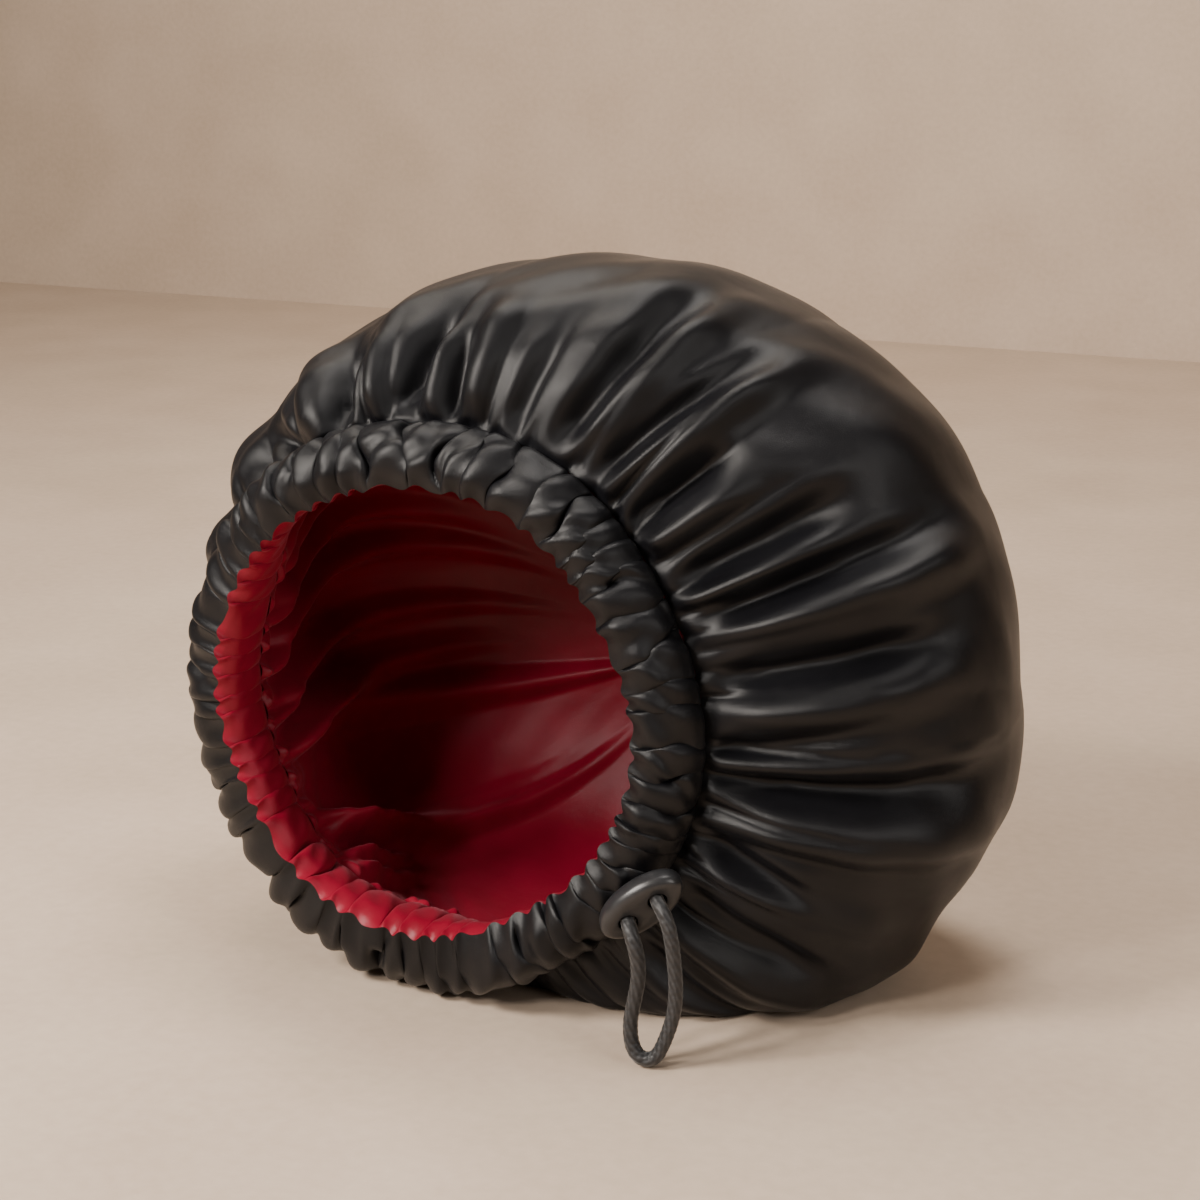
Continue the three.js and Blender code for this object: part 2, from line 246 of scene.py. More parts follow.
def fold_rise(folds: Sequence[Fold], angle: np.ndarray, t: np.ndarray) -> np.ndarray:
    """How far the long folds lift the cloth.

    Args:
        folds: the table.
        angle: degrees.
        t: place along the bag.

    Returns:
        Millimetres, above 0 on ridges.
    """
    total = np.zeros_like(angle + t)
    for fold in folds:
        share = np.clip(t / fold.end, 0, 1)
        bend = (fold.to - fold.at + 180) % FULL_TURN - 180
        off = np.abs(np.mod(angle - fold.at - bend * share + 180, FULL_TURN) - 180) / fold.half
        lengthwise = smooth(0, fold.swell, share) * (1 - smooth(0.5, 1, share))
        across = np.where(off < 1, 0.5 * (1 + np.cos(np.pi * np.minimum(off, 1))), 0)
        if fold.rise < 0:
            across = across**1.6     # creases are narrower than ridges
        total = total + fold.rise * lengthwise * across
    return total


# ---------------------------------------------------------------- making meshes


def grid_mesh(
    name: str, points: np.ndarray, uv: np.ndarray, outward: bool, pole: bool = False
) -> bpy.types.Object:
    """A smooth mesh round the opening from rows of points in millimetres.

    Args:
        name: the piece's name.
        points: rows by columns by 3; columns go once round and join up.
        uv: rows by columns + 1 by 2, in metres.
        outward: whether faces look out of the bonnet or into it.
        pole: closes the last row with one point at its middle.

    Returns:
        The object, at the origin.
    """
    rows, columns = points.shape[:2]
    r, c = np.meshgrid(np.arange(rows - 1), np.arange(columns), indexing="ij")
    nxt = (c + 1) % columns
    quad = np.stack([r * columns + c, (r + 1) * columns + c, (r + 1) * columns + nxt, r * columns + nxt], -1)
    corner = np.stack([uv[r, c], uv[r + 1, c], uv[r + 1, c + 1], uv[r, c + 1]], 2)
    if not outward:
        quad, corner = quad[..., ::-1], corner[:, :, ::-1]
    faces = quad.reshape(-1, 4).tolist()
    corners = corner.reshape(-1, 2)
    verts = points.reshape(-1, 3) * MM
    if pole:
        middle = points[-1].mean(0, keepdims=True) * MM
        tip = len(verts)
        verts = np.concatenate([verts, middle])
        base = (rows - 1) * columns
        fan, fan_uv = [], []
        for i in range(columns):
            tri = [base + i, tip, base + (i + 1) % columns]
            tri_uv = [uv[-1, i], uv[-1, i] + (0, MM), uv[-1, i + 1]]
            fan.append(tri if outward else tri[::-1])
            fan_uv += tri_uv if outward else tri_uv[::-1]
        faces += fan
        corners = np.concatenate([corners, np.array(fan_uv)])
    return mesh_object(name, verts, faces, corners)


def mesh_object(
    name: str, verts: np.ndarray, faces: list, corners: np.ndarray | None = None
) -> bpy.types.Object:
    """A smooth-shaded mesh object in the scene, from points in metres, faces and UV corners."""
    mesh = bpy.data.meshes.new(name)
    mesh.from_pydata(verts.tolist(), [], faces)
    if corners is not None:
        layer = mesh.uv_layers.new(name="cloth")
        layer.data.foreach_set("uv", np.ascontiguousarray(corners, dtype=np.float32).ravel())
    mesh.polygons.foreach_set("use_smooth", np.ones(len(mesh.polygons), bool))
    mesh.update()
    obj = bpy.data.objects.new(name, mesh)
    bpy.context.scene.collection.objects.link(obj)
    return obj


def select_only(obj: bpy.types.Object) -> None:
    """Leaves one object selected and active."""
    bpy.ops.object.select_all(action="DESELECT")
    obj.select_set(True)
    bpy.context.view_layer.objects.active = obj


def tube(
    name: str, line: np.ndarray, radius: Callable[[np.ndarray, np.ndarray], np.ndarray], sides: int
) -> bpy.types.Object:
    """A closed tube along a line, with a radius that may vary along and round it.

    Args:
        name: the piece's name.
        line: points in metres.
        radius: gives metres from distance along (metres) and angle round (radians).
        sides: points round the tube.

    Returns:
        The object, with UV u along and v round, in metres and turns.
    """
    step = np.gradient(line, axis=0)
    tangent = step / np.linalg.norm(step, axis=1, keepdims=True)
    across = np.zeros_like(line)
    guide = np.cross(tangent[0], (0.3, 0.5, 0.8))
    for i, direction in enumerate(tangent):
        guide = guide - direction * (guide @ direction)
        guide = guide / np.linalg.norm(guide)
        across[i] = guide
    other = np.cross(tangent, across)
    along = np.concatenate([[0], np.cumsum(np.linalg.norm(np.diff(line, axis=0), axis=1))])
    turn = np.linspace(0, 2 * np.pi, sides, endpoint=False)
    s, a = np.meshgrid(along, turn, indexing="ij")
    reach = radius(s, a)[..., None]
    spoke = np.cos(a)[..., None] * across[:, None] + np.sin(a)[..., None] * other[:, None]
    verts = line[:, None] + reach * spoke
    uv_s, uv_a = np.meshgrid(along, np.linspace(0, 1, sides + 1), indexing="ij")
    obj = grid_mesh(name, verts / MM, np.stack([uv_s, uv_a], -1), outward=True)
    select_only(obj)
    bpy.ops.object.mode_set(mode="EDIT")
    bpy.ops.mesh.select_all(action="SELECT")
    bpy.ops.mesh.fill_holes(sides=0)
    bpy.ops.mesh.normals_make_consistent(inside=False)
    bpy.ops.object.mode_set(mode="OBJECT")
    return obj


# ---------------------------------------------------------------- shader expressions


@dataclass
class Value:
    """A node's output that takes part in arithmetic."""

    nodes: "Shader"
    socket: bpy.types.NodeSocket

    def _math(self, operation: str, a: "Value | float", b: "Value | float") -> "Value":
        """One Math node on two values."""
        return self.nodes.make("ShaderNodeMath", {"operation": operation}, {0: a, 1: b})

    def __add__(self, other: "Value | float") -> "Value":
        """The sum."""
        return self._math("ADD", self, other)

    def __mul__(self, other: "Value | float") -> "Value":
        """The product."""
        return self._math("MULTIPLY", self, other)

    def __sub__(self, other: "Value | float") -> "Value":
        """The difference."""
        return self._math("SUBTRACT", self, other)

    def __rsub__(self, other: float) -> "Value":
        """A number less this value."""
        return self._math("SUBTRACT", other, self)

    __radd__ = __add__
    __rmul__ = __mul__


class Shader:
    """A material's node tree, built node by node."""

    def __init__(self, name: str) -> None:
        """An empty material with an output and one Principled shader."""
        self.material = bpy.data.materials.new(name)
        self.material.use_nodes = True
        self.tree = self.material.node_tree
        self.tree.nodes.clear()
        self.output = self.tree.nodes.new("ShaderNodeOutputMaterial")
        self.surface = self.tree.nodes.new("ShaderNodeBsdfPrincipled")
        self.tree.links.new(self.surface.outputs[0], self.output.inputs["Surface"])

    def make(self, kind: str, settings: dict, inputs: dict, output: int | str = 0) -> Value:
        """Adds one node.

        Args:
            kind: the node's type.
            settings: properties to set first; stops gives a colour ramp its positions and colours.
            inputs: values or links by socket.
            output: which output to use.

        Returns:
            The output as a value.
        """
        node = self.tree.nodes.new(kind)
        for key, value in settings.items():
            if key == "stops":
                ramp = node.color_ramp
                while len(ramp.elements) < len(value):
                    ramp.elements.new(1.0)
                for element, (position, colour) in zip(ramp.elements, value):
                    element.position = position
                    element.color = colour
            else:
                setattr(node, key, value)
        for key, value in inputs.items():
            self.feed(node.inputs[key], value)
        return Value(self, node.outputs[output])

    def feed(self, socket: bpy.types.NodeSocket, value: "Value | float | tuple") -> None:
        """Links or sets one socket."""
        if isinstance(value, Value):
            self.tree.links.new(value.socket, socket)
        else:
            socket.default_value = value

    def set(self, **inputs: "Value | float | tuple") -> None:
        """Feeds the Principled shader's sockets; underscores stand for spaces."""
        for key, value in inputs.items():
            self.feed(self.surface.inputs[key.replace("_", " ")], value)

    def coordinates(self, kind: str) -> Value:
        """Object or UV coordinates."""
        return self.make("ShaderNodeTexCoord", {}, {}, kind)

    def noise(self, where: Value, scale: float, detail: float, rough: float = 0.5) -> Value:
        """Fractal noise from 0 to 1."""
        return self.make(
            "ShaderNodeTexNoise", {}, {"Vector": where, "Scale": scale, "Detail": detail, "Roughness": rough}
        )

    def ramp(self, value: Value, stops: Sequence[tuple[float, tuple]]) -> Value:
        """A colour ramp."""
        return self.make("ShaderNodeValToRGB", {"stops": stops}, {"Fac": value})

    def bump(self, height: Value, distance: float, strength: float, under: Value | None = None) -> Value:
        """A Bump node on a height, over another if given."""
        inputs: dict = {"Height": height, "Distance": distance, "Strength": strength}
        if under is not None:
            inputs["Normal"] = under
        return self.make("ShaderNodeBump", {}, inputs)


def rgb(red: float, green: float, blue: float) -> tuple[float, float, float, float]:
    """An opaque linear colour."""
    return (red, green, blue, 1.0)


@dataclass(frozen=True)
class SatinFinish:
    """Polyester satin: smooth, with a soft sheen, fine grain and faint slubs along the weave."""

    name: str
    deep: tuple
    bright: tuple
    roughness: float
    sheen: float
    sheen_tint: tuple
    grain: float = 0.6
    specular: float = 0.3

    def material(self) -> bpy.types.Material:
        """Builds the material."""
        s = Shader(self.name)
        where = s.coordinates("Object")
        weave = s.make(
            "ShaderNodeMapping", {}, {"Vector": s.coordinates("UV"), "Scale": (900.0, 5200.0, 1.0)}
        )
        threads = s.noise(weave, 1.0, 2.0)
        grain = s.noise(where, 2600.0, 3.0, 0.7)
        cloudy = s.noise(where, 38.0, 4.0)
        tone = s.ramp(cloudy * 0.5 + threads * 0.25 + grain * 0.25, [(0.32, self.deep), (0.68, self.bright)])
        rough = (cloudy - 0.5) * 0.10 + (grain - 0.5) * 0.30 + self.roughness
        fine = s.bump(grain * 0.7 + threads * 0.3, 0.00025, self.grain)
        slack = s.bump(s.noise(where, 90.0, 3.0), 0.0011, 0.22, fine)
        s.set(Base_Color=tone, Roughness=rough, Normal=slack, Sheen_Weight=self.sheen, Sheen_Roughness=0.35)
        s.set(Sheen_Tint=self.sheen_tint, Anisotropic=0.35, IOR=1.45, Specular_IOR_Level=self.specular)
        return s.material


@dataclass(frozen=True)
class PlasticFinish:
    """Moulded plastic with a faint spark-eroded texture and rubbed edges."""

    name: str
    colour: tuple
    worn: tuple
    roughness: float

    def material(self) -> bpy.types.Material:
        """Builds the material."""
        s = Shader(self.name)
        where = s.coordinates("Object")
        speckle = s.noise(where, 3200.0, 2.0)
        haze = s.noise(where, 160.0, 4.0)
        s.set(
            Base_Color=s.ramp(haze, [(0.35, self.colour), (0.75, self.worn)]),
            Roughness=(haze - 0.5) * 0.18 + (speckle - 0.5) * 0.1 + self.roughness,
            Normal=s.bump(speckle, 0.00005, 0.35),
            IOR=1.5,
        )
        return s.material


@dataclass(frozen=True)
class BraidFinish:
    """Tightly braided cord with lighter nylon flecks along its strands."""

    name: str = "black_braid"
    strands: int = 8
    pitch: float = 0.0052

    def material(self) -> bpy.types.Material:
        """Builds the material."""
        s = Shader(self.name)
        uv = s.make(
            "ShaderNodeMapping",
            {},
            {"Vector": s.coordinates("UV"), "Scale": (1 / self.pitch, self.strands, 1.0)},
        )
        one = s.make(
            "ShaderNodeTexWave",
            {"bands_direction": "DIAGONAL"},
            {"Vector": uv, "Scale": 0.6, "Distortion": 0.6},
            1,
        )
        fibre = s.noise(s.coordinates("Object"), 5200.0, 3.0, 0.7)
        stops = [(0.35, rgb(0.006, 0.006, 0.007)), (0.8, rgb(0.03, 0.03, 0.032))]
        tone = s.ramp(fibre * 0.6 + one * 0.4, stops)
        s.set(
            Base_Color=tone,
            Roughness=(fibre - 0.5) * 0.3 + 0.5,
            Normal=s.bump(one * 0.6 + fibre * 0.4, 0.0003, 0.6),
            Sheen_Weight=0.25,
            Sheen_Roughness=0.4,
        )
        return s.material


class Finish(Enum):
    """The bonnet's finishes."""

    BLACK_SATIN = SatinFinish(
        "black_satin", rgb(0.0022, 0.0022, 0.003), rgb(0.006, 0.006, 0.0075), 0.35, 0.02, rgb(0.75, 0.75, 0.8)
    )
    WINE_SATIN = SatinFinish(
        "wine_satin", rgb(0.17, 0.003, 0.014), rgb(0.27, 0.008, 0.028), 0.34, 0.16, rgb(1.0, 0.42, 0.48)
    )
    BLACK_THREAD = SatinFinish(
        "black_thread", rgb(0.008, 0.008, 0.009), rgb(0.03, 0.03, 0.032), 0.5, 0.1, rgb(0.8, 0.8, 0.8)
    )
    WINE_THREAD = SatinFinish(
        "wine_thread", rgb(0.10, 0.003, 0.010), rgb(0.22, 0.01, 0.03), 0.5, 0.1, rgb(1.0, 0.5, 0.5)
    )
    CHARCOAL = PlasticFinish("charcoal_plastic", rgb(0.014, 0.0145, 0.016), rgb(0.022, 0.022, 0.024), 0.34)
    GREY = PlasticFinish("grey_plastic", rgb(0.10, 0.10, 0.10), rgb(0.14, 0.14, 0.138), 0.45)
    BRAID = BraidFinish()


class Wardrobe:
    """Makes each finish once."""

    def __init__(self) -> None:
        """No materials yet."""
        self.made: dict[Finish, bpy.types.Material] = {}

    def dress(self, obj: bpy.types.Object, finish: Finish) -> None:
        """Gives an object a finish as its only material."""
        if finish not in self.made:
            self.made[finish] = finish.value.material()
        obj.data.materials.clear()
        obj.data.materials.append(self.made[finish])


def finish_piece(obj: bpy.types.Object, slot: str, *nodes: str) -> None:
    """Rides a piece on the bonnet's one body and hides the CAD nodes it stands for."""
    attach(obj, "root")
    if nodes:
        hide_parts(*nodes)
    area = sum(face.area for face in obj.data.polygons)
    LOG.info("%s: %d faces, %.4f square metres", obj.name, len(obj.data.polygons), area)


# ---------------------------------------------------------------- the crown


SHELL_FOLDS = (
    Fold(133, 138, 0.55, 6, -7), Fold(123, 134, 0.6, 6, -9), Fold(116, 118, 0.9, 7, 4),
    Fold(109.5, 108, 0.65, 5, -10), Fold(103, 99, 0.95, 6, 4), Fold(96.5, 90, 0.75, 5, -10),
    Fold(90, 89, 0.55, 3.4, 3), Fold(85, 87, 0.5, 3.2, -4), Fold(80, 82, 0.8, 4.5, 4),
    Fold(73, 72, 0.6, 3.5, -4), Fold(63.5, 60, 0.95, 4.5, -8), Fold(59, 56.5, 1.0, 3.8, 5),
    Fold(54.5, 48, 0.8, 3.8, -8), Fold(50.5, 45.5, 0.95, 4.2, 6), Fold(44.5, 43, 0.42, 3.4, -7),
    Fold(38, 38, 0.4, 3.6, 5), Fold(30.5, 31, 0.7, 4.6, -9), Fold(26, 26.5, 0.5, 3.2, 4),
    Fold(22.5, 24, 0.95, 4.0, -7), Fold(18.5, 21, 1.15, 4.4, 7), Fold(12, 12.5, 0.8, 4.2, -9),
    Fold(6, 8, 0.85, 4.6, 7), Fold(0, 3, 0.5, 3.4, -5), Fold(353, 356.5, 1.1, 5.0, -10),
    Fold(347.5, 349, 1.2, 4.8, 7), Fold(343, 334, 0.6, 4.0, -7), Fold(337.5, 335, 0.85, 4.0, 6),
    Fold(332, 327, 0.7, 4.0, -7), Fold(325, 320, 0.9, 4.6, 5), Fold(317, 313, 0.8, 4.5, -7),
    Fold(150, 154, 0.9, 6, -7), Fold(161, 160, 1.1, 7, 5), Fold(172, 170, 0.9, 5.5, -7),
    Fold(184, 187, 1.1, 7, 5), Fold(195, 198, 0.9, 5.5, -7), Fold(207, 206, 1.2, 7, 5),
    Fold(220, 216, 0.9, 5.5, -7), Fold(232, 235, 1.0, 7, 5), Fold(140, 146, 1.3, 9, 5),
    Fold(70, 62, 1.5, 8, 3, 0.5), Fold(37, 30, 1.6, 8, 3, 0.5), Fold(342, 330, 1.6, 9, -3, 0.5),
)

LINING_FOLDS = (
    Fold(172, 146, 1.7, 5.5, 7, 0.3), Fold(179, 150, 1.6, 4.5, -4, 0.3), Fold(186, 152, 1.8, 5.5, 8, 0.3),
    Fold(193, 163, 1.7, 4.5, -4, 0.3), Fold(199, 172, 1.8, 5.5, 7, 0.3), Fold(207.5, 188, 1.7, 6.5, 11, 0.3),
    Fold(204, 190, 0.8, 3.5, -4, 0.3), Fold(217, 255, 1.9, 5.5, 8, 0.3), Fold(223, 242, 1.7, 4.5, 5, 0.3),
    Fold(227.5, 246, 1.5, 4.0, -4, 0.3), Fold(233, 244, 1.5, 4.5, 6, 0.3), Fold(240, 246, 1.1, 4.5, 5, 0.3),
    Fold(160, 138, 1.6, 6, 6, 0.3), Fold(150, 130, 1.6, 6, 5, 0.3), Fold(62, 64, 1.5, 8, 5, 0.4),
    Fold(20, 24, 1.6, 8, 6, 0.4), Fold(345, 342, 1.5, 8, 5, 0.4), Fold(40, 44, 1.5, 6, -4, 0.4),
    Fold(190, 214, 2.2, 9, 9, 0.8), Fold(120, 128, 1.4, 7, 5, 0.3),
)


@dataclass
class Crown:
    """The gathered outer shell and the loose lining inside it."""

    form: BonnetForm
    wardrobe: Wardrobe
    cut_diameter: float = 0.526
    columns: int = 640
    rows: int = 118
    lining_columns: int = 560
    lining_rows: int = 110
    gathers: int = 46
    gather_height: float = 4.3
    crumple: float = 0.6
    pleat_height: float = 1.5
    lining_depth: float = 1.5
    rear_slack: float = 2.6

    def gather(self, angle: np.ndarray, t: np.ndarray, count: int, phase: float) -> np.ndarray:
        """Short gathers that spring from the stitches: round ridges between sharp creases, from -1 to 1."""
        loose = wander(angle, ((3, 3.0, phase), (7, 1.9, 2 * phase), (13, 1.1, 3 * phase), (29, 0.5, phase)))
        turn = np.radians((angle + loose) * count / 2)
        tall = 0.62 + 0.38 * np.sin(np.radians(angle * 9) + 5 * phase) * np.sin(np.radians(angle * 4) + phase)
        return (1.7 * np.abs(np.cos(turn)) ** 0.75 - 1) * tall

    def cloth(self, bag: Bag, folds: Sequence[Fold], columns: int, rows: int, phase: float) -> np.ndarray:
        """Rows of points over one bag, folds, gathers and the floor included.

        Args:
            bag: the shell or the lining.
            folds: its long folds.
            columns: points round.
            rows: points from the stitches to the end.
            phase: sets the gathers of the two bags apart.

        Returns:
            rows by columns by 3, in millimetres.
        """
        angle, u = np.meshgrid(
            np.linspace(0, FULL_TURN, columns, endpoint=False), np.linspace(0, 1, rows), indexing="xy"
        )
        t = 1.985 * u**1.35
        rise = fold_rise(folds, angle, t) * smooth(0, 0.05, t)
        short = smooth(0, 0.05, t) * (1 - smooth(0.10, 0.70, t))
        rise = rise + self.gather_height * self.gather(angle, t, self.gathers, phase) * short
        broad = smooth(0.05, 0.25, t) * (1 - smooth(0.5, 1.9, t))
        rise = rise + 1.6 * broad * self.gather(angle + 6 * t, t, 17, phase + 1.7)
        crumple = np.sin(angle * 0.31 + 9 * t) * np.sin(17 * t + angle * 0.12) * smooth(0.1, 0.5, t) * (2 - t)
        pleat = 1.5 * np.abs(np.cos(self.form.pleat_phase(angle) / 2)) ** 0.6 - 0.7
        rise = rise + self.pleat_height * pleat * (1 - smooth(0.02, 0.16, t))
        if bag.side > 0:
            slack = np.sin(np.radians(angle * 7) + 2.2 * t + wander(angle, ((3, 0.9, 1.1), (5, 0.6, 0.3))))
            rise = rise + self.rear_slack * slack * smooth(0.95, 1.3, t) * (1 - smooth(1.6, 1.95, t))
            rise = np.maximum(rise, -np.minimum(0.8 + 45 * t, 10))     # valleys stay outside the lining
        else:
            slack = 0.3 * np.maximum(-rise, 0) * smooth(0.15, 0.5, t)
            rise = slack - self.lining_depth * np.maximum(rise, 0)
        point = self.form.bag_point(bag, angle, t)
        point = point + self.form.bag_normal(bag, angle, t) * (rise + self.crumple * crumple)[..., None]
        point[..., 2] = rest(point[..., 2], bag.floor, self.form.bag_blend)
        return point

    def cloth_uv(self, columns: int, rows: int) -> np.ndarray:
        """Cloth coordinates in metres: round the cut disc and in from its edge."""
        round_, along = np.meshgrid(
            np.linspace(0, math.pi * self.cut_diameter, columns + 1),
            np.linspace(0, self.cut_diameter / 2, rows),
        )
        return np.stack([round_, along], -1)

    def build(self) -> None:
        """Makes and dresses both bags."""
        shell = grid_mesh(
            "satin_crown",
            self.cloth(self.form.shell, SHELL_FOLDS, self.columns, self.rows, 0.6),
            self.cloth_uv(self.columns, self.rows),
            outward=True,
            pole=True,
        )
        self.wardrobe.dress(shell, Finish.BLACK_SATIN)
        finish_piece(shell, "black_satin", "crown_shell")
        lining = grid_mesh(
            "satin_lining",
            self.cloth(self.form.lining, LINING_FOLDS, self.lining_columns, self.lining_rows, 2.1),
            self.cloth_uv(self.lining_columns, self.lining_rows),
            outward=False,
            pole=True,
        )
        self.wardrobe.dress(lining, Finish.WINE_SATIN)
        finish_piece(lining, "wine_satin", "crown_lining")


# ---------------------------------------------------------------- the face band


@dataclass
class FaceBand:
    """The ruched elastic band: black cloth outside, wine cloth inside, and its stitches."""

    form: BonnetForm
    wardrobe: Wardrobe
    columns: int = 2000
    casing_rows: int = 30
    facing_rows: int = 24
    edge_wave: float = 1.3
    facing_plump: float = 3.4
    floor: float = 0.4
    floor_blend: float = 5.0
    strip_length: float = 1.08
    casing_width: float = 0.040
    facing_width: float = 0.027
    stitch_step: float = 3.3
    stitch_length: float = 2.3
    stitch_radius: float = 0.32

    def edge_lift(self, angle: np.ndarray) -> np.ndarray:
        """How far the edge seam weaves in and out with the pleats."""
        return self.edge_wave * np.sin(self.form.pleat_phase(angle) + 0.6)

    def casing(self) -> np.ndarray:
        """Points of the black outer cloth, its pleats leaning into S-shaped folds."""
        angle, share = np.meshgrid(
            np.linspace(0, FULL_TURN, self.columns, endpoint=False), np.linspace(0, 1, self.casing_rows)
        )
        phase = self.form.pleat_phase(angle)
        sway = 0.9 * np.sin(2 * np.pi * share + wander(angle, ((9, 1.6, 0.3), (17, 1.2, 2.2))))
        twist = phase + sway + 1.1 * (share - 0.5) * wander(angle, ((6, 1.0, 1.0), (14, 1.3, 0.2)))
        ridge = 1.55 * np.abs(np.cos(twist / 2)) ** 0.6 - 0.70
        pucker = 0.22 * np.sin(2 * phase + 7 * share + wander(angle, ((8, 2.0, 0.9),)))
        roll = np.sqrt(np.maximum(0, 1 - (2 * share - 1) ** 2))
        plump = self.form.column("plump", angle)
        size = 0.86 + 0.14 * np.sin(phase * 0.37 + 1.0)
        out = plump * roll * (0.78 + (0.36 * ridge + 0.22 * pucker) * size)
        out = out + 1.3 * (ridge + pucker) * smooth(0, 0.12, share)
        edge = 1 - smooth(0, 0.3, share)
        out = out + self.edge_lift(angle) * edge + 1.4 * smooth(0.85, 1, share)
        step = FULL_TURN / self.form.pleats
        lean_over = 0.27 * step * np.sin(twist) * roll
        along = share + 0.03 * np.sin(phase + 2.0) * edge
        point = self.form.band_point(angle + lean_over, along, out)
        point[..., 2] = rest(point[..., 2], self.floor, self.floor_blend)
        return point

    def facing(self) -> np.ndarray:
        """Points of the wine inner cloth, with short pleats across it."""
        angle, share = np.meshgrid(
            np.linspace(0, FULL_TURN, self.columns, endpoint=False), np.linspace(0, 1, self.facing_rows)
        )
        phase = self.form.pleat_phase(angle)
        twist = phase + 0.5 * np.sin(np.pi * share) * wander(angle, ((10, 1.5, 0.7), (19, 1.0, 1.1)))
        ridge = 1.5 * np.abs(np.cos(twist / 2)) ** 0.6 - 0.65
        pucker = 0.35 * np.sin(2 * phase + 9 * share + 1.0) * np.sin(np.pi * share)
        roll = np.sqrt(np.maximum(0, 1 - (2 * share - 1) ** 2))
        out = -self.facing_plump * roll * (0.85 + 0.70 * ridge + 0.25 * pucker)
        edge = 1 - smooth(0, 0.3, share)
        out = out - 1.1 * ridge * (1 - edge) * (1 - smooth(0.85, 1, share))
        out = out + self.edge_lift(angle) * edge - 0.5 * smooth(0.85, 1, share)
        step = FULL_TURN / self.form.pleats
        lean_over = 0.26 * step * np.sin(twist) * roll
        along = share + 0.03 * np.sin(phase + 2.0) * edge
        return self.form.band_point(angle + lean_over, along, out)

    def strip_uv(self, rows: int, width: float) -> np.ndarray:
        """Cloth coordinates of a strip before it was gathered, in metres."""
        round_, along = np.meshgrid(
            np.linspace(0, self.strip_length, self.columns + 1), np.linspace(0, width, rows)
        )
        return np.stack([round_, along], -1)

    def stitches(self, name: str, out: float, finish: Finish, slot: str, beyond: float) -> bpy.types.Object:
        """A row of short sunken stitches along the casing's stitch line, joined into one mesh.

        Args:
            name: the piece's name.
            out: distance from the band's middle layer.
            finish: the thread.
            slot: not used.
            beyond: place across the band, in widths from the edge.

        Returns:
            The joined stitches.
        """
        radius = float(np.mean(self.form.column("opening", np.arange(0, FULL_TURN, 5.0)))) + 14
        count = int(2 * math.pi * radius / self.stitch_step)
        half = FULL_TURN / count * self.stitch_length / self.stitch_step / 2
        bpy.ops.object.select_all(action="DESELECT")
        bpy.ops.mesh.primitive_uv_sphere_add(segments=6, ring_count=4, radius=1.0)
        model = bpy.context.active_object
        base = np.array([v.co for v in model.data.vertices])
        faces = [list(p.vertices) for p in model.data.polygons]
        bpy.data.objects.remove(model)
        verts, all_faces = [], []
        for i in range(count):
            middle = i * FULL_TURN / count
            ends = self.form.band_point(
                np.array([middle - half, middle + half]), np.array([beyond, beyond]), np.array([out, out])
            )
            ends[:, 2] = rest(ends[:, 2], self.floor, self.floor_blend)
            along = (ends[1] - ends[0]) / 2
            side = np.cross(along, (0.0, 1.0, 0.0))
            side = side / np.linalg.norm(side) * self.stitch_radius
            up = np.cross(along, side)
            up = up / np.linalg.norm(up) * self.stitch_radius
            verts.append((ends.mean(0) + base @ np.array([along, side, up])) * MM)
            all_faces += [[v + i * len(base) for v in f] for f in faces]
        obj = mesh_object(name, np.concatenate(verts), all_faces)
        select_only(obj)
        bpy.ops.object.mode_set(mode="EDIT")
        bpy.ops.mesh.select_all(action="SELECT")
        bpy.ops.mesh.normals_make_consistent(inside=False)
        bpy.ops.object.mode_set(mode="OBJECT")
        self.wardrobe.dress(obj, finish)
        finish_piece(obj, slot)
        return obj

    def build(self) -> None:
        """Makes and dresses the band's two cloths and their stitches."""
        casing_uv = self.strip_uv(self.casing_rows, self.casing_width)
        casing = grid_mesh("ruched_band", self.casing(), casing_uv, outward=True)
        self.wardrobe.dress(casing, Finish.BLACK_SATIN)
        finish_piece(casing, "black_satin", "band_casing")
        facing_uv = self.strip_uv(self.facing_rows, self.facing_width)
        facing = grid_mesh("ruched_facing", self.facing(), facing_uv, outward=False)
        self.wardrobe.dress(facing, Finish.WINE_SATIN)
        finish_piece(facing, "wine_satin", "band_facing")
        outer = self.stitches("casing_stitches", 1.5, Finish.BLACK_THREAD, "black_satin", 0.985)
        inner = self.stitches("facing_stitches", -1.0, Finish.WINE_THREAD, "wine_satin", 0.985)


# ---------------------------------------------------------------- drawcord and stopper


